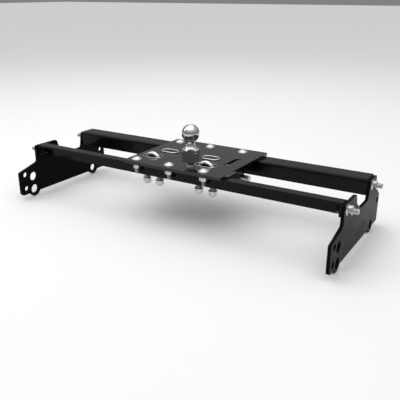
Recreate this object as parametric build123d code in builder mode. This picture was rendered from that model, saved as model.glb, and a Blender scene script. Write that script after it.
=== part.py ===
"""Under-bed gooseneck hitch: two cross rails, a pair of frame brackets and a ball plate with chain anchors.

The frame's origin is on the floor under the middle of the whole hitch. X runs along the rails, Y across
them and +Z is up. Heights and Y places below are measured from the deck: its top face, on the ball's axis.
"""

from build123d import *
import os
from math import atan2, degrees, sqrt

os.makedirs("parts", exist_ok=True)

# Where the deck stands in the frame
BALL_Y = 16.5
DECK_Z = 191.0

# Rails and side brackets
SPAN = 1108.0
BRACKET_T = 9.5
BRACKET_FACE = SPAN / 2
FOOT_Z = -177.0
TAB_R = 25.0
TAB_Z = TAB_R - DECK_Z
TIP_HOLE_Y = -175.0
TIP_HOLE_R = 15.875
TIP_HOLES_Z = (-119.5, TAB_Z)
SMALL_HOLE_Y = -210.0
SMALL_HOLES_Z = (-105.5, -156.0)
SMALL_HOLE_R = 9.5
REAR_TAB_Y = 132.0
REAR_HOLE_R = 14.3
REAR_SMALL = (182.0, -102.0)
STEEL_T = 6.35
BEND_R = 9.5
INNER_BEND_R = BEND_R - STEEL_T
NEAR_RAIL_Y = (-143.5, -105.3)
NEAR_RAIL_Z = -54.0
FAR_RAIL_Y = (82.0, 143.5)
FAR_RAIL_Z = -59.0

# Centre plate
DECK_T = 9.5
DECK_LEFT = -155.0
DECK_RIGHT = 201.0
DECK_HALF_Y = 156.0
DECK_CORNER_R = 4.0
BOLT_PITCH = 125.0
RAIL_TOP = -DECK_T
FLANGE_UNDER = RAIL_TOP - STEEL_T

# 5/8 in fasteners
BOLT_R = 7.94
BOLT_HOLE_R = 8.75
NUT_FLATS = 23.8
NUT_H = 14.0
NUT_BORE_R = 8.0
NUT_FLANGE_R = 15.5
NUT_FLANGE_T = 2.5
DOME_R = 16.7
DOME_H = 7.5
SQUARE_NECK = 16.0
SQUARE_NECK_H = 8.5
SQUARE_HOLE = 16.6
CARRIAGE_END = -45.0
END_LUG_T = 8.0
END_HEAD_T = 10.0
END_STUD = 30.0
END_BOLT_Z = -31.0
NEAR_END_BOLT_Y = -128.0
FAR_END_BOLT_Y = 105.0

# 2-5/16 in ball on a 2 in shank
BALL_R = 29.37
BALL_Z = 72.6
NECK_R = 13.5
NECK_Z = 40.0
COLLAR_R = 28.8
COLLAR_H = 20.0
SHANK_R = 25.4
SHANK_END = -80.0
SOCKET_R = 38.1
SOCKET_BORE_R = 25.45
SOCKET_END = -83.0

# Chain loops, their pockets and the two oval trims
LOOP_X = 100.5
LOOP_Y = -71.0
LOOP_R = 25.4
LOOP_WIRE_R = 7.14
LOOP_TOP = 14.5
LOOP_ARC_Z = LOOP_TOP - LOOP_WIRE_R - LOOP_R
LOOP_END = -97.0
POCKET = (68.0, 34.0)
POCKET_WALL = 3.0
POCKET_FLOOR = -30.0
POCKET_RIM = 2.5
POCKET_RIM_H = 1.5
LEG_HOLE_R = 7.6
WASHER_R = 14.0
WASHER_T = 3.0
WASHER_Z = -81.0
LOOP_NUT_FLATS = 22.2
LOOP_NUT_H = 12.0
OVAL_X = 78.0
OVAL_Y = -3.0
OVAL = (64.0, 38.0)
OVAL_RIM = 4.5
OVAL_RIM_H = 5.0

# Ball lock, drawn open: a slide with an oblique slot pushes a sprung pin into the ball's shank
PIN_TRAVEL = 19.0
SLIDE_TRAVEL = 57.0
PIN_Z = -44.0
PIN_R = 9.5
PIN_BORE_R = 9.55
PIN_NOSE = 19.0 + PIN_TRAVEL
PIN_END = 196.0 + PIN_TRAVEL
SHANK_HOLE_R = 10.0
FOLLOWER_X = 152.0 + PIN_TRAVEL
FOLLOWER_R = 5.0
FOLLOWER_CLEAR = 0.3
FOLLOWER_Z = (-54.5, -12.0)
SLIDE_X = (142.5, 181.0)
SLIDE_Y = (-10.0 - SLIDE_TRAVEL, 67.0 - SLIDE_TRAVEL)
SLIDE_Z = (-16.5, -10.5)
POST = (151.5, 30.0 - SLIDE_TRAVEL)
POST_R = 3.0
POST_TOP = -1.5
KEY_SLOT_W = 8.0
KEY_SLOT_WIDE = (13.0, 62.0)
KEY_SLOT = ((144.0, -33.0), (POST[0], -33.0), (POST[0], 36.0), (163.0, 36.0))
GUIDE_Y = (-44.0, 75.0)
GUIDE_FOOT = -20.0
LEDGE_TOP = -17.0
HOUSING_X = (30.0, 184.0)
HOUSING_HALF_Y = 25.0
HOUSING_WALL = 5.0
HOUSING_FLOOR = -66.0
HOUSING_STEP_X = 133.0
HOUSING_LOW_TOP = -21.0
HOUSING_ROOMS = ((28.0, 44.0), (52.0, 126.0), (133.0, 178.0))
COLLAR_X = 74.0 + PIN_TRAVEL
COLLAR_T = 6.0
COLLAR_OUT_R = 14.0
LOCK_SPRING_R = 12.2
LOCK_WIRE_R = 1.5
CHAIN_SPRING_R = 9.6
CHAIN_WIRE_R = 1.4
SPRING_GAP = 0.1
LOOP_SPRING_TURNS = 7
LOCK_SPRING_TURNS = 5

# Broken edges, roundings and sliding gaps
PLATE_EDGE = 0.5
DECK_EDGE = 0.8
NUT_EDGE = 0.8
ROD_EDGE = 1.0
SHANK_EDGE = 2.0
PIN_NOSE_EDGE = 2.5
RIM_ROUND = 0.7
OVAL_ROUND = 1.8
CUP_ROUND = 2.5
SLIDE_ROUND = 2.0
ROD_GAP = 0.06
PIN_GAP = 0.05
CUT_SPARE = 1.0

DECK = Plane((0, BALL_Y, DECK_Z))


def side_plane(x):
    """Plane across the rails at x, looking along +X, with its own x along Y and its own y up."""
    return Plane((x, BALL_Y, DECK_Z), x_dir=(0, 1, 0), z_dir=(1, 0, 0))


def front_plane(y):
    """Upright plane along the rails at y, with its own x along X and its own y up."""
    return Plane((0, BALL_Y + y, DECK_Z), x_dir=(1, 0, 0), z_dir=(0, -1, 0))


def save(node, name):
    """Label a finished piece and write it as its own STEP file."""
    node.part.label = name
    export_step(node.part, f"parts/{name}.step")


def span_rectangle(x_range, y_range, mode=Mode.ADD):
    """Rectangle of the sketch being built, between two x and two y values."""
    with Locations(((x_range[0] + x_range[1]) / 2, (y_range[0] + y_range[1]) / 2)):
        Rectangle(x_range[1] - x_range[0], y_range[1] - y_range[0], mode=mode)


# ---------------------------------------------------------------- rails


def make_rail(name, outline, bolt_y):
    """Bent angle rail with its top flange drilled for the deck's bolts."""
    with BuildPart() as rail:
        with BuildSketch(side_plane(-BRACKET_FACE)):
            with BuildLine():
                FilletPolyline(*outline, radius=[0, BEND_R, 0, 0, INNER_BEND_R, 0], close=True)
            make_face()
        extrude(amount=SPAN)
        with BuildSketch(DECK.offset(RAIL_TOP)):
            with Locations((-BOLT_PITCH, bolt_y), (0, bolt_y), (BOLT_PITCH, bolt_y)):
                Circle(BOLT_HOLE_R)
        extrude(amount=-STEEL_T, mode=Mode.SUBTRACT)
    save(rail, name)


def rail_outline(edge_y, back_y, foot_z):
    """Angle section: a flange from edge_y to back_y and a leg at back_y down to foot_z."""
    inner_y = back_y - STEEL_T if back_y > edge_y else back_y + STEEL_T
    return [
        (edge_y, RAIL_TOP),
        (back_y, RAIL_TOP),
        (back_y, foot_z),
        (inner_y, foot_z),
        (inner_y, FLANGE_UNDER),
        (edge_y, FLANGE_UNDER),
    ]


make_rail("near_rail", rail_outline(NEAR_RAIL_Y[0], NEAR_RAIL_Y[1], NEAR_RAIL_Z), -BOLT_PITCH)
make_rail("far_rail", rail_outline(FAR_RAIL_Y[1], FAR_RAIL_Y[0], FAR_RAIL_Z), BOLT_PITCH)


def make_end_lugs(name, y_range, leg_y, foot_z, bolt_y):
    """Pair of plates that close a rail's two ends, clear of its bend, and take its end bolts."""
    with BuildPart() as lugs:
        for x in (-BRACKET_FACE, BRACKET_FACE - END_LUG_T):
            with BuildSketch(side_plane(x)) as lug:
                span_rectangle(y_range, (foot_z, FLANGE_UNDER))
                bend_corner = lug.vertices().sort_by_distance((leg_y, FLANGE_UNDER, 0))[0]
                chamfer(bend_corner, INNER_BEND_R)
                with Locations((bolt_y, END_BOLT_Z)):
                    Circle(BOLT_HOLE_R, mode=Mode.SUBTRACT)
            extrude(amount=END_LUG_T)
    save(lugs, name)


near_leg_y = NEAR_RAIL_Y[1] - STEEL_T
far_leg_y = FAR_RAIL_Y[0] + STEEL_T
make_end_lugs("near_rail_end_lugs", (NEAR_RAIL_Y[0], near_leg_y), near_leg_y, -50.0, NEAR_END_BOLT_Y)
make_end_lugs("far_rail_end_lugs", (far_leg_y, FAR_RAIL_Y[1]), far_leg_y, -55.0, FAR_END_BOLT_Y)


# ---------------------------------------------------------------- side brackets

BRACKET_OUTLINE = [
    (-236.0, FOOT_Z, 12.0),
    (203.0, FOOT_Z, 6.0),
    (203.0, -88.0, 10.0),
    (165.0, -58.0, 12.0),
    (151.0, -38.0, 12.0),
    (151.0, -13.0, 8.0),
    (85.0, -13.0, 8.0),
    (75.0, -70.0, 8.0),
    (0.0, -70.0, 40.0),
    (-40.0, -42.0, 18.0),
    (-50.0, -13.0, 9.0),
    (-151.0, -13.0, 8.0),
    (-151.0, -71.0, 10.0),
    (-236.0, -93.0, 6.0),
]


def make_bracket(name, x):
    """Plate with two ears that hold the rails, a tip towards the near side and two round bolt tabs."""
    with BuildPart() as bracket:
        with BuildSketch(side_plane(x)) as profile:
            with BuildLine():
                points = [(y, z) for y, z, _ in BRACKET_OUTLINE]
                FilletPolyline(*points, radius=[r for _, _, r in BRACKET_OUTLINE], close=True)
            make_face()
            with Locations((TIP_HOLE_Y, TAB_Z), (REAR_TAB_Y, TAB_Z)):
                Circle(TAB_R)
            roots = profile.vertices().filter_by_position(Axis.Y, FOOT_Z - PLATE_EDGE, FOOT_Z + PLATE_EDGE)
            roots = roots.filter_by_position(Axis.X, TIP_HOLE_Y - TAB_R, REAR_TAB_Y + TAB_R)
            fillet(roots, TAB_R / 4)
            with Locations(*[(TIP_HOLE_Y, z) for z in TIP_HOLES_Z]):
                Circle(TIP_HOLE_R, mode=Mode.SUBTRACT)
            with Locations(*[(SMALL_HOLE_Y, z) for z in SMALL_HOLES_Z], REAR_SMALL):
                Circle(SMALL_HOLE_R, mode=Mode.SUBTRACT)
            with Locations((REAR_TAB_Y, TAB_Z)):
                Circle(REAR_HOLE_R, mode=Mode.SUBTRACT)
            with Locations((NEAR_END_BOLT_Y, END_BOLT_Z), (FAR_END_BOLT_Y, END_BOLT_Z)):
                Circle(BOLT_HOLE_R, mode=Mode.SUBTRACT)
        extrude(amount=BRACKET_T)
        chamfer(bracket.faces().filter_by(Axis.X).edges(), PLATE_EDGE)
    save(bracket, name)


make_bracket("left_bracket", -BRACKET_FACE - BRACKET_T)
make_bracket("right_bracket", BRACKET_FACE)


# ---------------------------------------------------------------- centre plate

with BuildPart() as deck:
    with BuildSketch(DECK) as plan:
        with Locations(((DECK_LEFT + DECK_RIGHT) / 2, 0)):
            RectangleRounded(DECK_RIGHT - DECK_LEFT, 2 * DECK_HALF_Y, DECK_CORNER_R)
        Circle(SOCKET_BORE_R, mode=Mode.SUBTRACT)
        with GridLocations(BOLT_PITCH, 2 * BOLT_PITCH, 3, 2):
            Rectangle(SQUARE_HOLE, SQUARE_HOLE, mode=Mode.SUBTRACT)
        with Locations((-LOOP_X, LOOP_Y), (LOOP_X, LOOP_Y)):
            SlotOverall(*POCKET, mode=Mode.SUBTRACT)
        for start, stop in zip(KEY_SLOT, KEY_SLOT[1:]):
            run = Vector(*stop) - Vector(*start)
            with Locations((Vector(*start) + Vector(*stop)) / 2):
                turn = degrees(atan2(run.Y, run.X))
                SlotCenterToCenter(run.length, KEY_SLOT_W, rotation=turn, mode=Mode.SUBTRACT)
        with Locations((POST[0], (KEY_SLOT[1][1] + KEY_SLOT[2][1]) / 2)):
            Rectangle(*KEY_SLOT_WIDE, mode=Mode.SUBTRACT)
    extrude(amount=-DECK_T)
    chamfer(deck.faces().sort_by(Axis.Z)[-1].outer_wire().edges(), DECK_EDGE)
save(deck, "centre_plate")


def make_pocket(side, x):
    """Raised rim on the deck and cup under it, round the slot that a chain loop sinks into."""
    with BuildPart() as rim:
        with BuildSketch(DECK):
            with Locations((x, LOOP_Y)):
                SlotOverall(POCKET[0] + 2 * POCKET_RIM, POCKET[1] + 2 * POCKET_RIM)
                SlotOverall(*POCKET, mode=Mode.SUBTRACT)
        extrude(amount=POCKET_RIM_H)
        fillet(rim.faces().sort_by(Axis.Z)[-1].edges(), RIM_ROUND)
    save(rim, f"{side}_pocket_rim")

    with BuildPart() as cup:
        with BuildSketch(DECK.offset(RAIL_TOP)):
            with Locations((x, LOOP_Y)):
                SlotOverall(POCKET[0] + 2 * POCKET_WALL, POCKET[1] + 2 * POCKET_WALL)
        extrude(amount=POCKET_FLOOR - RAIL_TOP)
        fillet(cup.faces().sort_by(Axis.Z)[0].edges(), CUP_ROUND)
        with BuildSketch(DECK.offset(RAIL_TOP)):
            with Locations((x, LOOP_Y)):
                SlotOverall(*POCKET)
        extrude(amount=POCKET_FLOOR + POCKET_WALL - RAIL_TOP, mode=Mode.SUBTRACT)
        with BuildSketch(DECK.offset(POCKET_FLOOR)):
            with Locations((x - LOOP_R, LOOP_Y), (x + LOOP_R, LOOP_Y)):
                Circle(LEG_HOLE_R)
        extrude(amount=POCKET_WALL, mode=Mode.SUBTRACT)
    save(cup, f"{side}_pocket_cup")


def make_oval_trim(side, x):
    """Oval trim ring standing on the deck beside the ball."""
    with BuildPart() as ring:
        with BuildSketch(DECK):
            with Locations((x, OVAL_Y)):
                SlotOverall(*OVAL)
                SlotOverall(OVAL[0] - 2 * OVAL_RIM, OVAL[1] - 2 * OVAL_RIM, mode=Mode.SUBTRACT)
        extrude(amount=OVAL_RIM_H)
        fillet(ring.faces().sort_by(Axis.Z)[-1].edges(), OVAL_ROUND)
    save(ring, f"{side}_oval_trim")


# ---------------------------------------------------------------- fasteners


def add_hexagon(flats):
    """Hexagon of the sketch being built, with two flats square to the plane's y axis."""
    RegularPolygon(flats / 2, 6, major_radius=False)


def nut_chamfer(nut, axis):
    """Break the outer rim of a nut's two end faces."""
    ends = nut.faces().filter_by(axis)
    chamfer([edge for face in ends for edge in face.outer_wire().edges()], NUT_EDGE)


with BuildPart() as carriage_bolts:
    dome_sphere_r = (DOME_R**2 + DOME_H**2) / (2 * DOME_H)
    with BuildSketch(front_plane(0)):
        with BuildLine():
            Line((0, DOME_H), (0, CARRIAGE_END))
            Line((0, CARRIAGE_END), (BOLT_R - ROD_EDGE, CARRIAGE_END))
            Line((BOLT_R - ROD_EDGE, CARRIAGE_END), (BOLT_R, CARRIAGE_END + ROD_EDGE))
            Line((BOLT_R, CARRIAGE_END + ROD_EDGE), (BOLT_R, 0))
            Line((BOLT_R, 0), (DOME_R, 0))
            RadiusArc((DOME_R, 0), (0, DOME_H), -dome_sphere_r)
        make_face()
    revolve(axis=Axis((0, BALL_Y, 0), (0, 0, 1)))
    with BuildSketch(DECK):
        Rectangle(SQUARE_NECK, SQUARE_NECK)
    extrude(amount=-SQUARE_NECK_H)
one_bolt = carriage_bolts.part

with BuildPart() as carriage_bolt_set:
    with GridLocations(BOLT_PITCH, 2 * BOLT_PITCH, 3, 2):
        add(one_bolt)
save(carriage_bolt_set, "carriage_bolts")

with BuildPart() as carriage_nuts:
    with BuildSketch(DECK.offset(FLANGE_UNDER)):
        with GridLocations(BOLT_PITCH, 2 * BOLT_PITCH, 3, 2):
            add_hexagon(NUT_FLATS)
            Circle(NUT_BORE_R, mode=Mode.SUBTRACT)
    extrude(amount=-NUT_H)
    nut_chamfer(carriage_nuts, Axis.Z)
save(carriage_nuts, "carriage_nuts")

END_BOLTS = [(NEAR_END_BOLT_Y, END_BOLT_Z), (FAR_END_BOLT_Y, END_BOLT_Z)]
HEAD_FACE = BRACKET_FACE - END_LUG_T
OUTER_FACE = BRACKET_FACE + BRACKET_T

with BuildPart() as end_bolts:
    for way in (-1, 1):
        with BuildSketch(side_plane(way * HEAD_FACE)):
            with Locations(*END_BOLTS):
                add_hexagon(NUT_FLATS)
        extrude(amount=-way * END_HEAD_T)
        with BuildSketch(side_plane(way * HEAD_FACE)):
            with Locations(*END_BOLTS):
                Circle(BOLT_R)
        extrude(amount=way * (OUTER_FACE + END_STUD - HEAD_FACE))
    tips = end_bolts.faces().filter_by(Axis.X).group_by(Axis.X)
    chamfer((tips[0] + tips[-1]).edges(), ROD_EDGE)
save(end_bolts, "rail_end_bolts")

with BuildPart() as end_nuts:
    for way in (-1, 1):
        with BuildSketch(side_plane(way * OUTER_FACE)):
            with Locations(*END_BOLTS):
                Circle(NUT_FLANGE_R)
                Circle(NUT_BORE_R, mode=Mode.SUBTRACT)
        extrude(amount=way * NUT_FLANGE_T)
        with BuildSketch(side_plane(way * OUTER_FACE)):
            with Locations(*END_BOLTS):
                add_hexagon(NUT_FLATS)
                Circle(NUT_BORE_R, mode=Mode.SUBTRACT)
        extrude(amount=way * NUT_H)
save(end_nuts, "rail_end_nuts")


# ---------------------------------------------------------------- chain loops


def coil(base, centre, radius, wire_r, height, turns):
    """Round-wire helical spring standing on a plane, at a place given in the plane's own x and y."""
    with BuildPart() as spring:
        with BuildLine() as path:
            Helix(height / turns, height, radius)
        with BuildSketch(Plane(path.line @ 0, z_dir=path.line % 0)):
            Circle(wire_r)
        sweep(path=path.line, is_frenet=True)
    return base.location * Location((*centre, 0)) * spring.part


def make_chain_loop(side, x):
    """Bent rod loop with the springs, washers and nuts on its two legs."""
    legs = [(x - LOOP_R, LOOP_Y), (x + LOOP_R, LOOP_Y)]
    with BuildPart() as loop:
        with BuildLine(front_plane(LOOP_Y)) as path:
            Line((x - LOOP_R, LOOP_END), (x - LOOP_R, LOOP_ARC_Z))
            CenterArc((x, LOOP_ARC_Z), LOOP_R, 180, -180)
            Line((x + LOOP_R, LOOP_ARC_Z), (x + LOOP_R, LOOP_END))
        with BuildSketch(DECK.offset(LOOP_END)):
            with Locations(legs[0]):
                Circle(LOOP_WIRE_R)
        sweep(path=path.line)
        chamfer(loop.faces().filter_by(Axis.Z).edges(), ROD_EDGE)
    save(loop, f"{side}_chain_loop")

    with BuildPart() as washers:
        with BuildSketch(DECK.offset(WASHER_Z)):
            with Locations(*legs):
                Circle(WASHER_R)
                Circle(LOOP_WIRE_R + ROD_GAP, mode=Mode.SUBTRACT)
        extrude(amount=WASHER_T)
    save(washers, f"{side}_loop_washers")

    with BuildPart() as nuts:
        with BuildSketch(DECK.offset(WASHER_Z)):
            with Locations(*legs):
                add_hexagon(LOOP_NUT_FLATS)
                Circle(LOOP_WIRE_R + ROD_GAP, mode=Mode.SUBTRACT)
        extrude(amount=-LOOP_NUT_H)
        nut_chamfer(nuts, Axis.Z)
    save(nuts, f"{side}_loop_nuts")

    low = WASHER_Z + WASHER_T + CHAIN_WIRE_R + SPRING_GAP
    high = POCKET_FLOOR - CHAIN_WIRE_R - SPRING_GAP
    foot = DECK.offset(low)
    with BuildPart() as springs:
        for leg in legs:
            add(coil(foot, leg, CHAIN_SPRING_R, CHAIN_WIRE_R, high - low, LOOP_SPRING_TURNS))
    save(springs, f"{side}_loop_springs")


for side_name, way in (("left", -1), ("right", 1)):
    make_pocket(side_name, way * LOOP_X)
    make_oval_trim(side_name, way * OVAL_X)
    make_chain_loop(side_name, way * LOOP_X)


# ---------------------------------------------------------------- ball and socket

BALL_AXIS = Axis((0, BALL_Y, 0), (0, 0, 1))

with BuildPart() as hitch_ball:
    neck_top = BALL_Z - sqrt(BALL_R**2 - NECK_R**2)
    with BuildSketch(front_plane(0)):
        with BuildLine():
            Line((0, BALL_Z + BALL_R), (0, SHANK_END))
            Line((0, SHANK_END), (SHANK_R - SHANK_EDGE, SHANK_END))
            Line((SHANK_R - SHANK_EDGE, SHANK_END), (SHANK_R, SHANK_END + SHANK_EDGE))
            Line((SHANK_R, SHANK_END + SHANK_EDGE), (SHANK_R, 0))
            Line((SHANK_R, 0), (COLLAR_R, 0))
            Line((COLLAR_R, 0), (COLLAR_R, COLLAR_H))
            Spline(
                (COLLAR_R, COLLAR_H),
                (NECK_R, NECK_Z),
                tangents=[(-1.0, 0.45), (-0.1, 1.0)],
            )
            Line((NECK_R, NECK_Z), (NECK_R, neck_top))
            ThreePointArc((NECK_R, neck_top), (BALL_R, BALL_Z), (0, BALL_Z + BALL_R))
        make_face()
    revolve(axis=BALL_AXIS)
    with BuildSketch(side_plane(-SHANK_R - CUT_SPARE)):
        with Locations((0, PIN_Z)):
            Circle(SHANK_HOLE_R)
    extrude(amount=2 * (SHANK_R + CUT_SPARE), mode=Mode.SUBTRACT)
save(hitch_ball, "hitch_ball")

with BuildPart() as ball_socket:
    with BuildSketch(DECK.offset(RAIL_TOP)):
        Circle(SOCKET_R)
        Circle(SOCKET_BORE_R, mode=Mode.SUBTRACT)
    extrude(amount=SOCKET_END - RAIL_TOP)
    with BuildSketch(side_plane(0)):
        with Locations((0, PIN_Z)):
            Circle(PIN_BORE_R)
    extrude(amount=SOCKET_R + CUT_SPARE, mode=Mode.SUBTRACT)
save(ball_socket, "ball_socket")


# ---------------------------------------------------------------- ball lock

with BuildPart() as latch_housing:
    with BuildSketch(front_plane(HOUSING_HALF_Y)):
        with BuildLine():
            Polyline(
                (HOUSING_X[0], RAIL_TOP),
                (HOUSING_STEP_X, RAIL_TOP),
                (HOUSING_STEP_X, HOUSING_LOW_TOP),
                (HOUSING_X[1], HOUSING_LOW_TOP),
                (HOUSING_X[1], HOUSING_FLOOR),
                (HOUSING_X[0], HOUSING_FLOOR),
                close=True,
            )
        make_face()
    extrude(amount=2 * HOUSING_HALF_Y)
    with BuildSketch(DECK.offset(HOUSING_FLOOR + HOUSING_WALL)):
        room_half_y = HOUSING_HALF_Y - HOUSING_WALL
        for room in HOUSING_ROOMS:
            span_rectangle(room, (-room_half_y, room_half_y))
    extrude(amount=RAIL_TOP - HOUSING_FLOOR, mode=Mode.SUBTRACT)
    with BuildSketch(side_plane(HOUSING_X[0])):
        with Locations((0, PIN_Z)):
            Circle(PIN_BORE_R)
    extrude(amount=HOUSING_X[1] - HOUSING_X[0], mode=Mode.SUBTRACT)
    with BuildSketch(DECK):
        Circle(SOCKET_R + PIN_GAP)
    extrude(amount=HOUSING_FLOOR - CUT_SPARE, mode=Mode.SUBTRACT)
save(latch_housing, "latch_housing")

with BuildPart() as latch_pin:
    with BuildSketch(side_plane(PIN_NOSE)):
        with Locations((0, PIN_Z)):
            Circle(PIN_R)
    extrude(amount=PIN_END - PIN_NOSE)
    ends = latch_pin.faces().filter_by(Axis.X).sort_by(Axis.X)
    chamfer(ends[0].edges(), PIN_NOSE_EDGE)
    chamfer(ends[-1].edges(), ROD_EDGE)
    with BuildSketch(DECK):
        with Locations((FOLLOWER_X, 0)):
            Circle(FOLLOWER_R + PIN_GAP)
    extrude(amount=FOLLOWER_Z[0] - CUT_SPARE, mode=Mode.SUBTRACT)
save(latch_pin, "latch_pin")

with BuildPart() as follower_pin:
    with BuildSketch(DECK.offset(FOLLOWER_Z[0])):
        with Locations((FOLLOWER_X, 0)):
            Circle(FOLLOWER_R)
    extrude(amount=FOLLOWER_Z[1] - FOLLOWER_Z[0])
    chamfer(follower_pin.faces().filter_by(Axis.Z).edges(), NUT_EDGE)
save(follower_pin, "follower_pin")

with BuildPart() as latch_collar:
    with BuildSketch(side_plane(COLLAR_X)):
        with Locations((0, PIN_Z)):
            Circle(COLLAR_OUT_R)
            Circle(PIN_BORE_R, mode=Mode.SUBTRACT)
    extrude(amount=COLLAR_T)
save(latch_collar, "latch_collar")

spring_start = COLLAR_X + COLLAR_T + LOCK_WIRE_R + SPRING_GAP
spring_stop = HOUSING_ROOMS[1][1] - LOCK_WIRE_R - SPRING_GAP
spring_run = spring_stop - spring_start
spring_base = side_plane(spring_start)
with BuildPart() as latch_spring:
    add(coil(spring_base, (0, PIN_Z), LOCK_SPRING_R, LOCK_WIRE_R, spring_run, LOCK_SPRING_TURNS))
save(latch_spring, "latch_spring")

with BuildPart() as lock_slide:
    with BuildSketch(DECK.offset(SLIDE_Z[0])):
        span_rectangle(SLIDE_X, SLIDE_Y)
        slot_run = Vector(PIN_TRAVEL, SLIDE_TRAVEL)
        with Locations((FOLLOWER_X - PIN_TRAVEL / 2, -SLIDE_TRAVEL / 2)):
            SlotCenterToCenter(
                slot_run.length,
                2 * (FOLLOWER_R + FOLLOWER_CLEAR),
                rotation=degrees(atan2(slot_run.Y, slot_run.X)),
                mode=Mode.SUBTRACT,
            )
        with Locations(POST):
            Circle(POST_R + PIN_GAP, mode=Mode.SUBTRACT)
    extrude(amount=SLIDE_Z[1] - SLIDE_Z[0])
    fillet(lock_slide.edges().filter_by(Axis.Z).group_by(Axis.Y)[0], SLIDE_ROUND)
save(lock_slide, "lock_slide")

with BuildPart() as lock_post:
    with BuildSketch(DECK.offset(SLIDE_Z[0])):
        with Locations(POST):
            Circle(POST_R)
    extrude(amount=POST_TOP - SLIDE_Z[0])
    chamfer(lock_post.faces().sort_by(Axis.Z)[-1].edges(), PLATE_EDGE)
save(lock_post, "lock_post")


def make_guide(name, bar_x, ledge_x):
    """Bar under the deck with a ledge that carries one edge of the lock's slide."""
    with BuildPart() as guide:
        with BuildSketch(front_plane(GUIDE_Y[1])):
            span_rectangle(bar_x, (GUIDE_FOOT, RAIL_TOP))
            span_rectangle(ledge_x, (GUIDE_FOOT, LEDGE_TOP))
        extrude(amount=GUIDE_Y[1] - GUIDE_Y[0])
    save(guide, name)


make_guide("inner_slide_guide", (134.0, 142.0), (134.0, 145.5))
make_guide("outer_slide_guide", (181.5, 189.0), (178.0, 189.0))
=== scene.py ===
"""Looks of the under-bed gooseneck hitch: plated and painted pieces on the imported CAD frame.

All lengths are in metres.
"""

from math import atan2, ceil, cos, pi, radians, sin, tan

import bmesh
import bpy
from mathutils import Matrix, Vector


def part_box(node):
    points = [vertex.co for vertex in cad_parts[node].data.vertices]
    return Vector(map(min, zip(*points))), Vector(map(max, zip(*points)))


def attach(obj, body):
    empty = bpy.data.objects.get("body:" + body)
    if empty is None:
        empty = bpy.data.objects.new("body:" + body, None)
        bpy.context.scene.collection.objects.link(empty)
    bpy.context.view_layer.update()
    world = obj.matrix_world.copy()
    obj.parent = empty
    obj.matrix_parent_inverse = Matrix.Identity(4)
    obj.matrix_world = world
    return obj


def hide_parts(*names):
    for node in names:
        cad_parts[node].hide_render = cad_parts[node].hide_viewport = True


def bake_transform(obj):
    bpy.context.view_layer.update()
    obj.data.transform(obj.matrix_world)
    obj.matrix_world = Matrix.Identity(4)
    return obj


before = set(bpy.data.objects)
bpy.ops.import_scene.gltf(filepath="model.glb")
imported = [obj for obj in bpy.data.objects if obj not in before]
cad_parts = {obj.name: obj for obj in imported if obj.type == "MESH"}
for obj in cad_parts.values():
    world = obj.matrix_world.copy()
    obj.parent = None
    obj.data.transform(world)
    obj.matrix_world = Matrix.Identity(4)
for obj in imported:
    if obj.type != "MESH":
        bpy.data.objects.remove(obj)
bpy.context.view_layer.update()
MM = 0.001

# Places that everything else is worked out from
ball_low, ball_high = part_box("hitch_ball")
deck_low, deck_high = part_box("centre_plate")
DECK_Z = deck_high.z
DECK_UNDER = deck_low.z
BALL = Vector(((ball_low.x + ball_high.x) / 2, (ball_low.y + ball_high.y) / 2, DECK_Z))


# ---------------------------------------------------------------- camera

CAMERA_OFFSET = Vector((0.93863, -1.46263, 0.49764))
CAMERA_AZIMUTH = radians(31.70)
CAMERA_ELEVATION = radians(20.63)
CAMERA_LENS = 49.80
SENSOR_WIDTH = 36.0


def make_camera():
    """Camera at the product view's place, seen from the right and a little above."""
    az, el = CAMERA_AZIMUTH, CAMERA_ELEVATION
    back = Vector((sin(az) * cos(el), -cos(az) * cos(el), sin(el)))
    right = Vector((cos(az), sin(az), 0))
    up = back.cross(right)
    camera = bpy.data.objects.new("camera", bpy.data.cameras.new("camera"))
    bpy.context.scene.collection.objects.link(camera)
    turn = Matrix((right, up, back)).transposed().to_4x4()
    camera.matrix_world = Matrix.Translation(BALL + CAMERA_OFFSET) @ turn
    camera.data.lens = CAMERA_LENS
    camera.data.sensor_width = SENSOR_WIDTH
    camera.data.clip_end = 50.0
    bpy.context.scene.camera = camera


make_camera()


# ---------------------------------------------------------------- materials


def new_material(name):
    """Empty node material with a Principled shader and object coordinates."""
    material = bpy.data.materials.new(name)
    material.use_nodes = True
    nodes = material.node_tree.nodes
    shader = nodes["Principled BSDF"]
    coords = nodes.new("ShaderNodeTexCoord")
    return material, nodes, material.node_tree.links, shader, coords


def add_noise(nodes, links, coords, scale, detail=3.0, stretch=(1, 1, 1)):
    """Noise over the object's own coordinates, drawn out along an axis by stretch."""
    mapping = nodes.new("ShaderNodeMapping")
    mapping.inputs["Scale"].default_value = stretch
    links.new(coords.outputs["Object"], mapping.inputs["Vector"])
    noise = nodes.new("ShaderNodeTexNoise")
    noise.inputs["Scale"].default_value = scale
    noise.inputs["Detail"].default_value = detail
    links.new(mapping.outputs["Vector"], noise.inputs["Vector"])
    return noise.outputs["Fac"]


def add_ramp(nodes, links, source, stops):
    """Colour ramp through (place, colour) stops."""
    ramp = nodes.new("ShaderNodeValToRGB")
    elements = ramp.color_ramp.elements
    for element, (place, colour) in zip(elements, (stops[0], stops[-1])):
        element.position = place
        element.color = (*colour, 1)
    for place, colour in stops[1:-1]:
        elements.new(place).color = (*colour, 1)
    links.new(source, ramp.inputs["Fac"])
    return ramp.outputs["Color"]


def add_range(nodes, links, source, low, high, from_low=0.3, from_high=0.7):
    """Map a noise value to a narrow range."""
    node = nodes.new("ShaderNodeMapRange")
    node.inputs["From Min"].default_value = from_low
    node.inputs["From Max"].default_value = from_high
    node.inputs["To Min"].default_value = low
    node.inputs["To Max"].default_value = high
    links.new(source, node.inputs["Value"])
    return node.outputs["Result"]


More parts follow.
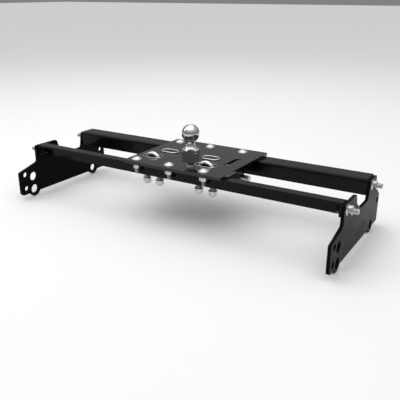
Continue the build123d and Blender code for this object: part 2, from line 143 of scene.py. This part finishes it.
def add_bump(nodes, links, shader, height, strength, distance, below=None):
    """Bump the shader's normal by a height, on top of an earlier bump."""
    bump = nodes.new("ShaderNodeBump")
    bump.inputs["Strength"].default_value = strength
    bump.inputs["Distance"].default_value = distance
    links.new(height, bump.inputs["Height"])
    if below is not None:
        links.new(below, bump.inputs["Normal"])
    links.new(bump.outputs["Normal"], shader.inputs["Normal"])
    return bump.outputs["Normal"]


def edge_wear(nodes, links, radius, low=0.05, high=0.35):
    """1 on edges and 0 on flat faces: how far the bevelled normal turns from the true one."""
    bevel = nodes.new("ShaderNodeBevel")
    bevel.samples = 4
    bevel.inputs["Radius"].default_value = radius
    geometry = nodes.new("ShaderNodeNewGeometry")
    dot = nodes.new("ShaderNodeVectorMath")
    dot.operation = "DOT_PRODUCT"
    links.new(bevel.outputs["Normal"], dot.inputs[0])
    links.new(geometry.outputs["Normal"], dot.inputs[1])
    return add_range(nodes, links, dot.outputs["Value"], 1.0, 0.0, 1 - high, 1 - low)


def powder_coat(name, rough_low, rough_high, peel, shine, ior=1.5):
    """Black powder coat with orange peel, faint dust and slightly thinner, greyer edges."""
    material, nodes, links, shader, coords = new_material(name)
    cloud = add_noise(nodes, links, coords, 7.0, 4.0)
    colour = add_ramp(
        nodes, links, cloud, [(0.3, (0.0022, 0.0023, 0.0025)), (0.7, (0.0042, 0.0043, 0.0046))]
    )
    wear = edge_wear(nodes, links, 0.0012)
    mix = nodes.new("ShaderNodeMix")
    mix.data_type = "RGBA"
    mix.inputs["B"].default_value = (0.022, 0.022, 0.024, 1)
    links.new(wear, mix.inputs["Factor"])
    links.new(colour, mix.inputs["A"])
    links.new(mix.outputs["Result"], shader.inputs["Base Color"])
    smudge = add_noise(nodes, links, coords, 24.0, 5.0)
    links.new(add_range(nodes, links, smudge, rough_low, rough_high), shader.inputs["Roughness"])
    shader.inputs["Specular IOR Level"].default_value = shine
    shader.inputs["IOR"].default_value = ior
    speck = add_noise(nodes, links, coords, 420.0, 2.0)
    first = add_bump(nodes, links, shader, speck, peel, 0.0002)
    wave = add_noise(nodes, links, coords, 60.0, 1.0)
    add_bump(nodes, links, shader, wave, peel * 0.5, 0.0004, first)
    return material


def chrome(name, tint, rough_low, rough_high):
    """Plated steel: near-mirror, with soft polishing haze and faint fine scratches."""
    material, nodes, links, shader, coords = new_material(name)
    shader.inputs["Metallic"].default_value = 1.0
    haze = add_noise(nodes, links, coords, 35.0, 4.0)
    low = tuple(0.9 * c for c in tint)
    links.new(add_ramp(nodes, links, haze, [(0.3, low), (0.7, tint)]), shader.inputs["Base Color"])
    links.new(add_range(nodes, links, haze, rough_low, rough_high), shader.inputs["Roughness"])
    scratch = add_noise(nodes, links, coords, 220.0, 2.0, (1, 1, 14))
    add_bump(nodes, links, shader, scratch, 0.03, 0.0001)
    return material


def zinc(name):
    """Zinc plate: pale, slightly blue, satin, with cloudy crystals."""
    material, nodes, links, shader, coords = new_material(name)
    shader.inputs["Metallic"].default_value = 1.0
    cloud = add_noise(nodes, links, coords, 130.0, 5.0)
    stops = [(0.25, (0.44, 0.445, 0.45)), (0.5, (0.54, 0.545, 0.55)), (0.8, (0.64, 0.64, 0.63))]
    links.new(add_ramp(nodes, links, cloud, stops), shader.inputs["Base Color"])
    grain = add_noise(nodes, links, coords, 480.0, 3.0)
    links.new(add_range(nodes, links, grain, 0.22, 0.38), shader.inputs["Roughness"])
    add_bump(nodes, links, shader, grain, 0.10, 0.0001)
    return material


def machined(name, tint, stretch):
    """Turned or milled steel with fine tool marks and a film of oil."""
    material, nodes, links, shader, coords = new_material(name)
    shader.inputs["Metallic"].default_value = 1.0
    marks = add_noise(nodes, links, coords, 300.0, 2.0, stretch)
    dark = tuple(0.75 * c for c in tint)
    colour = add_ramp(nodes, links, marks, [(0.3, dark), (0.7, tint)])
    links.new(colour, shader.inputs["Base Color"])
    film = add_noise(nodes, links, coords, 40.0, 3.0)
    links.new(add_range(nodes, links, film, 0.24, 0.42), shader.inputs["Roughness"])
    add_bump(nodes, links, shader, marks, 0.12, 0.0001)
    return material


BLACK = powder_coat("black_powder_coat", 0.14, 0.24, 0.12, 0.12)
BRACKET_BLACK = powder_coat("black_bracket_coat", 0.22, 0.34, 0.12, 0.2, 1.16)
DECK_BLACK = powder_coat("black_deck_coat", 0.03, 0.07, 0.02, 0.42)
BALL_CHROME = chrome("ball_chrome", (0.56, 0.565, 0.57), 0.03, 0.07)
ROD_CHROME = chrome("rod_chrome", (0.68, 0.685, 0.69), 0.09, 0.16)
ZINC = zinc("zinc_plate")
STEEL = machined("machined_steel", (0.55, 0.55, 0.56), (12, 1, 1))
SPRING = machined("spring_steel", (0.42, 0.43, 0.45), (1, 1, 6))
WELD = machined("weld_bead_black", (0.045, 0.045, 0.047), (1, 1, 1))
WELD.node_tree.nodes["Principled BSDF"].inputs["Metallic"].default_value = 0.0


def paint(obj, material):
    """Give the whole object one material."""
    obj.data.materials.clear()
    obj.data.materials.append(material)


def paint_nodes(material, *names):
    """Give carried-over CAD nodes a material."""
    for name in names:
        paint(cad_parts[name], material)


# ---------------------------------------------------------------- mesh tools

SHARP = radians(32)


def finish_mesh(name, points, faces, material, body, replaced=()):
    """Turn points and faces into a smooth-shaded closed piece that rides on a body."""
    mesh = bpy.data.meshes.new(name)
    mesh.from_pydata([tuple(p) for p in points], [], faces)
    bm = bmesh.new()
    bm.from_mesh(mesh)
    bmesh.ops.remove_doubles(bm, verts=bm.verts, dist=1e-7)
    bmesh.ops.recalc_face_normals(bm, faces=bm.faces)
    for face in bm.faces:
        face.smooth = True
    for edge in bm.edges:
        edge.smooth = len(edge.link_faces) == 2 and edge.calc_face_angle(0) < SHARP
    bm.to_mesh(mesh)
    bm.free()
    obj = bpy.data.objects.new(name, mesh)
    bpy.context.scene.collection.objects.link(obj)
    paint(obj, material)
    if body is not None:
        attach(obj, body)
    if replaced:
        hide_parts(*replaced)
    return obj


class Shape:
    """Points and faces gathered from several closed surfaces."""

    def __init__(self):
        self.points = []
        self.faces = []

    def add_rings(self, rings, loop=False):
        """Skin over rings of equal length: closed on itself, or capped at both ends."""
        start = len(self.points)
        count = len(rings[0])
        for ring in rings:
            self.points.extend(ring)
        spans = len(rings) if loop else len(rings) - 1
        for i in range(spans):
            a = start + i * count
            b = start + ((i + 1) % len(rings)) * count
            for k in range(count):
                n = (k + 1) % count
                self.faces.append((a + k, a + n, b + n, b + k))
        if not loop:
            self.faces.append(tuple(start + k for k in reversed(range(count))))
            self.faces.append(tuple(start + (len(rings) - 1) * count + k for k in range(count)))

    def add_turned(self, centre, axis, rows, segments=48, loop=False):
        """Turned shape: rows are (distance along axis, radius or function of the angle)."""
        axis = Vector(axis).normalized()
        across = axis.orthogonal().normalized()
        if abs(axis.z) > 0.5:
            across = Vector((1, 0, 0))
        other = axis.cross(across)
        rings = []
        for along, radius in rows:
            ring = []
            for k in range(segments):
                angle = 2 * pi * k / segments
                r = radius(angle) if callable(radius) else radius
                spoke = (across * cos(angle) + other * sin(angle)) * r
                ring.append(Vector(centre) + axis * along + spoke)
            rings.append(ring)
        self.add_rings(rings, loop=loop)

    def add_tube(self, path, radius, segments=20, loop=False):
        """Round tube along a path; radius may be a function of (distance along, angle)."""
        rings = []
        total = 0.0
        count = len(path)
        side = None
        for i, point in enumerate(path):
            before = path[(i - 1) % count] if loop or i else path[0]
            after = path[(i + 1) % count] if loop or i < count - 1 else path[-1]
            ahead = (after - before).normalized()
            if side is None:
                side = ahead.orthogonal().normalized()
            side = (side - ahead * side.dot(ahead)).normalized()
            up = ahead.cross(side)
            if i:
                total += (point - path[i - 1]).length
            ring = []
            for k in range(segments):
                angle = 2 * pi * k / segments
                r = radius(total, angle) if callable(radius) else radius
                ring.append(point + side * cos(angle) * r + up * sin(angle) * r)
            rings.append(ring)
        self.add_rings(rings, loop=loop)


THREAD_DEPTH = 0.55
THREAD_STEPS = 6


def thread_depth(along, angle, pitch, depth):
    """How far a 60 degree thread cuts below its crest at a place on a rod."""
    phase = (along / pitch - angle / (2 * pi)) % 1.0
    return depth * min(1.0, max(0.0, 2.4 * abs(phase - 0.5) - 0.1))


def threaded_rows(length, radius, pitch, tip=1.2 * MM, first=0.0):
    """Rows for add_turned: a threaded rod whose far end is bevelled."""
    depth = THREAD_DEPTH * pitch
    steps = ceil((length - first) / pitch * THREAD_STEPS)
    rows = []
    for i in range(steps + 1):
        along = first + (length - first) * i / steps
        bevel = max(0.0, along - (length - tip))

        def radius_at(angle, along=along, bevel=bevel):
            return min(radius - thread_depth(along, angle, pitch, depth), radius - bevel)

        rows.append((along, radius_at))
    return rows


def hexagon_radius(flats, limit):
    """Distance to a hexagon's side at an angle, no further than a limit."""

    def radius_at(angle):
        turned = (angle + pi / 6) % (pi / 3) - pi / 6
        return min(flats / 2 / cos(turned), limit)

    return radius_at


NUT_FACE = 0.97
NUT_BEVEL = 0.16
NUT_BEVEL_STEPS = 7
NUT_LOWER_ROWS = NUT_BEVEL_STEPS + 2


def nut_rows(flats, height, bore):
    """Rows for a hexagon nut with turned corners, from its bore out, round and back in."""
    face_r = flats / 2 * NUT_FACE
    slope = tan(radians(60))
    rows = [(0.0, bore)]
    steps = NUT_BEVEL_STEPS
    for i in range(steps + 1):
        along = height * NUT_BEVEL * i / steps
        rows.append((along, hexagon_radius(flats, face_r + along * slope)))
    for i in range(steps + 1):
        along = height - height * NUT_BEVEL * (steps - i) / steps
        rows.append((along, hexagon_radius(flats, face_r + (height - along) * slope)))
    rows.append((height, bore))
    return rows


# ---------------------------------------------------------------- places and sizes

BOLT_PITCH = 125 * MM
BOLT_R = 7.94 * MM
BOLT_THREAD = 2.31 * MM
BOLT_PLACES = [
    BALL + Vector((i * BOLT_PITCH, j * BOLT_PITCH, 0)) for j in (-1, 1) for i in (-1, 0, 1)
]
LOOP_WIRE_R = 7.14 * MM
LOOP_R = 25.4 * MM
LOOP_THREAD = 1.95 * MM
LOOP_THREADED = 30 * MM
LOOP_NUT_FLATS = 22.2 * MM
NECK_H = 8.5 * MM
NECK_SIDE = 16.0 * MM
DOME_R = 16.7 * MM
POCKET_Y = BALL.y - 71 * MM


def ends_of(node, axis):
    """Lowest and highest value of a CAD node along an axis."""
    low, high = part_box(node)
    return low[axis], high[axis]


# ---------------------------------------------------------------- plate bolts


def add_carriage_bolts():
    """Domed heads with a rim fillet, square necks and threaded shanks."""
    low, high = ends_of("carriage_bolts", 2)
    dome_h = high - DECK_Z
    sphere_r = (DOME_R**2 + dome_h**2) / (2 * dome_h)
    crown = atan2(DOME_R, sphere_r - dome_h)
    shape = Shape()
    for place in BOLT_PLACES:
        rows = []
        for i in range(13):
            angle = crown * i / 12
            along = dome_h - sphere_r + sphere_r * cos(angle)
            rows.append((along, max(sphere_r * sin(angle), 0.02 * MM)))
        # The dome's last row makes way for a rounded rim
        rows[-1] = (0.9 * MM, DOME_R - 0.35 * MM)
        rows += [(0.4 * MM, DOME_R), (0.0, DOME_R), (0.0, BOLT_R * 1.1)]
        rows.reverse()
        shape.add_turned(place, (0, 0, 1), rows, 64)
        shape.add_rings(square_rings(place, NECK_SIDE, 0.5 * MM, -NECK_H))
        threaded = threaded_rows(DECK_Z - low - NECK_H, BOLT_R, BOLT_THREAD)
        shape.add_turned(place - Vector((0, 0, NECK_H)), (0, 0, -1), threaded, 40)
    finish_mesh(
        "carriage_bolt_set", shape.points, shape.faces, ZINC, "frame", ["carriage_bolts"]
    )


def square_rings(place, side, top, bottom):
    """Square neck with small corner flats, as rings from top to bottom."""
    half, cut = side / 2, 0.8 * MM
    corners = []
    for sx, sy in ((1, 1), (-1, 1), (-1, -1), (1, -1)):
        first = Vector((sx * half, sy * (half - cut), 0))
        second = Vector((sx * (half - cut), sy * half, 0))
        corners += [first, second] if sx * sy > 0 else [second, first]
    return [[place + c + Vector((0, 0, z)) for c in corners] for z in (top, bottom)]


def add_plate_nuts():
    """Hexagon nuts under the rails' flanges."""
    low, high = ends_of("carriage_nuts", 2)
    shape = Shape()
    for place in BOLT_PLACES:
        start = Vector((place.x, place.y, low))
        shape.add_turned(start, (0, 0, 1), nut_rows(NUT_FLATS, high - low, BOLT_R), 60, loop=True)
    finish_mesh(
        "plate_nut_set", shape.points, shape.faces, ZINC, "frame", ["carriage_nuts"]
    )


# ---------------------------------------------------------------- rail end bolts

END_PLACES = [(-128 * MM, -31 * MM), (105 * MM, -31 * MM)]
END_LUG_FACE = 546 * MM
END_HEAD_T = 10 * MM
STUD_INSET = 1 * MM
NUT_FLATS = 23.8 * MM
END_NUT_H = 14 * MM
END_NUT_FLANGE_R = 15.5 * MM
BRACKET_OUT = 563.5 * MM


def end_place(way, x, yz):
    """Point at a rail end bolt, at x from the middle on one side."""
    return Vector((way * x, BALL.y + yz[0], DECK_Z + yz[1]))


def add_end_bolts():
    """Hexagon heads inside the rails' ends with threaded studs through the brackets."""
    high = ends_of("rail_end_bolts", 0)[1]
    shape, heads = Shape(), Shape()
    for way in (-1, 1):
        for yz in END_PLACES:
            inner = end_place(way, END_LUG_FACE - END_HEAD_T, yz)
            rows = nut_rows(NUT_FLATS, END_HEAD_T, 0.05 * MM)
            heads.add_turned(inner, (way, 0, 0), rows, 60)
            shank = end_place(way, END_LUG_FACE - STUD_INSET, yz)
            plain = BRACKET_OUT - END_LUG_FACE + STUD_INSET
            rows = [(0.0, BOLT_R), (plain - 1 * MM, BOLT_R)]
            length = high - END_LUG_FACE + STUD_INSET
            rows += threaded_rows(length, BOLT_R, BOLT_THREAD, first=plain)
            shape.add_turned(shank, (way, 0, 0), rows, 40)
    finish_mesh(
        "end_bolt_set", shape.points, shape.faces, ZINC, "frame", ["rail_end_bolts"]
    )
    finish_mesh("end_bolt_heads", heads.points, heads.faces, BLACK, "frame")


def add_end_nuts():
    """Flange nuts on the brackets' outer faces."""
    shape = Shape()
    for way in (-1, 1):
        for yz in END_PLACES:
            foot = end_place(way, BRACKET_OUT, yz)
            skirt = [
                (0.0, BOLT_R),
                (0.0, END_NUT_FLANGE_R),
                (1.2 * MM, END_NUT_FLANGE_R),
                (1.7 * MM, 15.1 * MM),
                (4.2 * MM, hexagon_radius(NUT_FLATS, 12.4 * MM)),
            ]
            body = nut_rows(NUT_FLATS, END_NUT_H, BOLT_R)
            shape.add_turned(foot, (way, 0, 0), skirt + body[NUT_LOWER_ROWS:], 60, loop=True)
    finish_mesh("end_nut_set", shape.points, shape.faces, ZINC, "frame", ["rail_end_nuts"])


# ---------------------------------------------------------------- chain loops


def loop_path(x, foot, top):
    """Centre line of a chain loop's rod, up one leg, round the bow and down the other."""
    bow = top - LOOP_WIRE_R - LOOP_R
    points = []
    for i in range(7):
        points.append(Vector((x - LOOP_R, POCKET_Y, foot + (bow - foot) * i / 6)))
    for i in range(1, 48):
        angle = pi - pi * i / 48
        points.append(Vector((x + LOOP_R * cos(angle), POCKET_Y, bow + LOOP_R * sin(angle))))
    for i in range(7):
        points.append(Vector((x + LOOP_R, POCKET_Y, bow + (foot - bow) * i / 6)))
    return points


def add_chain_loop(side):
    """Plated rod loop with rolled threads on both legs, and its hexagon nuts."""
    body = f"{side}_loop"
    node = f"{side}_chain_loop"
    low, high = ends_of(node, 2)
    x = sum(ends_of(node, 0)) / 2
    thread_top = low + LOOP_THREADED
    shape = Shape()
    shape.add_tube(loop_path(x, thread_top, high), LOOP_WIRE_R, 32)
    for leg in (-1, 1):
        start = Vector((x + leg * LOOP_R, POCKET_Y, thread_top + 0.5 * MM))
        rows = threaded_rows(thread_top + 0.5 * MM - low, LOOP_WIRE_R, LOOP_THREAD)
        shape.add_turned(start, (0, 0, -1), rows, 36)
    finish_mesh(
        f"{side}_loop_rod", shape.points, shape.faces, ROD_CHROME, body, [node]
    )

    low, high = ends_of(f"{side}_loop_nuts", 2)
    shape = Shape()
    for leg in (-1, 1):
        start = Vector((x + leg * LOOP_R, POCKET_Y, low))
        rows = nut_rows(LOOP_NUT_FLATS, high - low, LOOP_WIRE_R)
        shape.add_turned(start, (0, 0, 1), rows, 60, loop=True)
    nodes = [f"{side}_loop_nuts"]
    finish_mesh(f"{side}_loop_nut_pair", shape.points, shape.faces, ZINC, body, nodes)


COIL_STEPS = 36
LOOP_SPRING_WIRE_R = 1.4 * MM
LOOP_SPRING_R = 9.6 * MM
LOOP_SPRING_TURNS = 6
LOOP_SPRING_TIGHTEN = 0.42
LOCK_SPRING_WIRE_R = 1.5 * MM
LOCK_SPRING_R = 12.2 * MM
LOCK_SPRING_TURNS = 5


def spring_path(start, stop, centre_radius, turns, tighten):
    """Coil from start to stop whose end turns lie closer together than its middle ones."""
    start, stop = Vector(start), Vector(stop)
    axis = (stop - start).normalized()
    across = Vector((1, 0, 0)) if abs(axis.z) > 0.5 else Vector((0, 1, 0))
    other = axis.cross(across)
    steps = int(turns * COIL_STEPS)
    points = []
    for i in range(steps + 1):
        u = i / steps
        t = spread(u, tighten)
        angle = 2 * pi * turns * u
        spoke = (across * cos(angle) + other * sin(angle)) * centre_radius
        points.append(start + (stop - start) * t + spoke)
    return points


def spread(u, tighten):
    """Place along a spring at fraction u of its turns, wider apart towards the middle."""
    low, high = 0.0, 1.0
    for _ in range(30):
        t = (low + high) / 2
        value = (t - tighten * (3 * t * t - 2 * t**3)) / (1 - tighten)
        low, high = (t, high) if value < u else (low, t)
    return (low + high) / 2


def add_loop_springs(side):
    """Coil springs between the cup and the washers."""
    node = f"{side}_loop_springs"
    low, high = ends_of(node, 2)
    x = sum(ends_of(node, 0)) / 2
    wire = LOOP_SPRING_WIRE_R
    for name, leg in (("outer", -1), ("inner", 1)):
        foot = Vector((x + leg * LOOP_R, POCKET_Y, low + wire))
        top = Vector((foot.x, foot.y, high - wire))
        shape = Shape()
        coil = spring_path(foot, top, LOOP_SPRING_R, LOOP_SPRING_TURNS, LOOP_SPRING_TIGHTEN)
        shape.add_tube(coil, wire, 12)
        replaced = [node] if leg < 0 else []
        piece = f"{side}_{name}_loop_spring"
        spring = finish_mesh(
            piece, shape.points, shape.faces, SPRING, None, replaced
        )
        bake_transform(spring)


# ---------------------------------------------------------------- lock spring


def add_latch_spring():
    """Coil spring that pushes the lock's collar towards the ball."""
    low, high = ends_of("latch_spring", 0)
    centre = sum(ends_of("latch_spring", 2)) / 2
    wire = LOCK_SPRING_WIRE_R
    start = Vector((low + wire, BALL.y, centre))
    stop = Vector((high - wire, BALL.y, centre))
    shape = Shape()
    shape.add_tube(spring_path(start, stop, LOCK_SPRING_R, LOCK_SPRING_TURNS, 0.0), wire, 12)
    replaced = ["latch_spring"]
    spring = finish_mesh(
        "lock_coil_spring", shape.points, shape.faces, SPRING, None, replaced
    )
    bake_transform(spring)


# ---------------------------------------------------------------- welds


WELD_R = 2.6 * MM
WELD_STEP = 1.6 * MM
WELD_RIPPLE = 3.6 * MM
WELD_END_GAP = 4 * MM
HOUSING_WELD_END = 129 * MM


def weld_path(points, loop=False):
    """Evenly spaced points along straight runs between points."""
    path = []
    corners = points + [points[0]] if loop else points
    for a, b in zip(corners, corners[1:]):
        count = max(2, ceil((b - a).length / WELD_STEP))
        path += [a + (b - a) * i / count for i in range(count)]
    if not loop:
        path.append(points[-1])
    return path


def weld_radius(size):
    """Radius of a rippled bead."""

    def radius_at(along, angle):
        return size * (1 + 0.10 * sin(2 * pi * along / WELD_RIPPLE) + 0.04 * sin(7 * angle))

    return radius_at


def add_welds():
    """Painted weld beads where the plates, cups, housing and guides meet."""
    shape = Shape()
    under = DECK_UNDER
    socket_low, socket_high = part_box("ball_socket")
    socket_r = (socket_high.y - socket_low.y) / 2
    arc = []
    for i in range(9, 40):
        angle = 2 * pi * i / 48
        arc.append(Vector((socket_r * cos(angle), BALL.y + socket_r * sin(angle), under)))
    shape.add_tube(weld_path(arc), weld_radius(WELD_R), 10)
    for side in ("left", "right"):
        low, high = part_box(f"{side}_pocket_cup")
        outline = weld_path(stadium(low, high, under, 56), loop=True)
        shape.add_tube(outline, weld_radius(WELD_R), 10, loop=True)
    for node in ("inner_slide_guide", "outer_slide_guide"):
        low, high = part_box(node)
        x = low.x if node.startswith("inner") else high.x
        run = [Vector((x, low.y + WELD_END_GAP, under)), Vector((x, high.y - WELD_END_GAP, under))]
        shape.add_tube(weld_path(run), weld_radius(WELD_R * 0.8), 10)
    low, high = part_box("latch_housing")
    for y in (low.y, high.y):
        run = [Vector((low.x + 12 * MM, y, under)), Vector((HOUSING_WELD_END, y, under))]
        shape.add_tube(weld_path(run), weld_radius(WELD_R), 10)
    for way in (-1, 1):
        inner = way * END_LUG_FACE
        for node, leg_y in (("near_rail_end_lugs", 1), ("far_rail_end_lugs", -1)):
            low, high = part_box(node)
            y = high.y if leg_y > 0 else low.y
            free_y = low.y if leg_y > 0 else high.y
            corner = y - leg_y * WELD_END_GAP
            run = [Vector((inner, y, low.z + 3 * MM)), Vector((inner, y, high.z - 5 * MM))]
            shape.add_tube(weld_path(run), weld_radius(WELD_R), 10)
            free_end = free_y + leg_y * WELD_END_GAP
            run = [Vector((inner, corner, high.z)), Vector((inner, free_end, high.z))]
            shape.add_tube(weld_path(run), weld_radius(WELD_R), 10)
    finish_mesh("weld_beads", shape.points, shape.faces, WELD, "frame")


def stadium(low, high, z, count):
    """Points round the outline of a slot-shaped piece at height z."""
    r = (high.y - low.y) / 2
    y = (low.y + high.y) / 2
    points = []
    for x, first in ((high.x - r, -pi / 2), (low.x + r, pi / 2)):
        for i in range(count // 2):
            angle = first + pi * i / (count // 2 - 1)
            points.append(Vector((x + r * cos(angle), y + r * sin(angle), z)))
    return points


# ---------------------------------------------------------------- stage


def make_area_light(name, place, target, width, height, energy):
    """Soft rectangular light aimed at a point."""
    light = bpy.data.lights.new(name, "AREA")
    light.shape = "RECTANGLE"
    light.size = width
    light.size_y = height
    light.energy = energy
    obj = bpy.data.objects.new(name, light)
    bpy.context.scene.collection.objects.link(obj)
    obj.location = place
    aim = Vector(target) - Vector(place)
    obj.rotation_euler = aim.to_track_quat("-Z", "Y").to_euler()


# World colour stops, by the Z of the direction looked in
SKY = [
    (0.0, (0.22, 0.22, 0.23)),
    (0.34, (0.40, 0.40, 0.41)),
    (0.7, (0.80, 0.80, 0.81)),
    (1.0, (0.95, 0.95, 0.95)),
]


def make_stage():
    """Pale floor, bright surroundings and soft lights from above."""
    bpy.ops.mesh.primitive_plane_add(size=60, location=(0, 0, -0.5 * MM))
    floor_plane = bpy.context.object
    floor_plane.name = "floor"
    material, _, _, shader, _ = new_material("pale_floor")
    shader.inputs["Base Color"].default_value = (0.86, 0.86, 0.86, 1)
    shader.inputs["Roughness"].default_value = 0.75
    shader.inputs["Specular IOR Level"].default_value = 0.2
    paint(floor_plane, material)

    world = bpy.data.worlds.new("studio")
    bpy.context.scene.world = world
    world.use_nodes = True
    nodes, links = world.node_tree.nodes, world.node_tree.links
    coords = nodes.new("ShaderNodeTexCoord")
    split = nodes.new("ShaderNodeSeparateXYZ")
    links.new(coords.outputs["Generated"], split.inputs["Vector"])
    links.new(add_ramp(nodes, links, split.outputs["Z"], SKY), nodes["Background"].inputs["Color"])
    bpy.context.scene.view_settings.view_transform = "Standard"
    make_area_light("overhead", (-0.2, -0.2, 3.0), (0, 0, 0.1), 4.4, 4.0, 56)
    make_area_light("left_side", (-2.6, -1.0, 2.0), (0, 0, 0.15), 1.2, 1.4, 10)
    make_area_light("back_left", (-1.6, 2.6, 2.4), (0, 0, 0.15), 1.4, 1.0, 6)


# ---------------------------------------------------------------- the whole hitch


def paint_cad():
    """Materials for the CAD pieces that are shown as they are."""
    paint_nodes(BLACK, "near_rail", "far_rail", "near_rail_end_lugs", "far_rail_end_lugs")
    paint_nodes(BRACKET_BLACK, "left_bracket", "right_bracket")
    paint_nodes(BLACK, "left_pocket_cup", "right_pocket_cup")
    paint_nodes(BLACK, "ball_socket", "latch_housing", "inner_slide_guide", "outer_slide_guide")
    paint_nodes(DECK_BLACK, "centre_plate")
    paint_nodes(ROD_CHROME, "left_oval_trim", "right_oval_trim")
    paint_nodes(ROD_CHROME, "left_pocket_rim", "right_pocket_rim")
    paint_nodes(BALL_CHROME, "hitch_ball")
    paint_nodes(ZINC, "left_loop_washers", "right_loop_washers")
    paint_nodes(STEEL, "latch_pin", "follower_pin", "latch_collar", "lock_slide", "lock_post")


paint_cad()
add_carriage_bolts()
add_plate_nuts()
add_end_bolts()
add_end_nuts()
for side_name in ("left", "right"):
    add_chain_loop(side_name)
    add_loop_springs(side_name)
add_latch_spring()
add_welds()
make_stage()
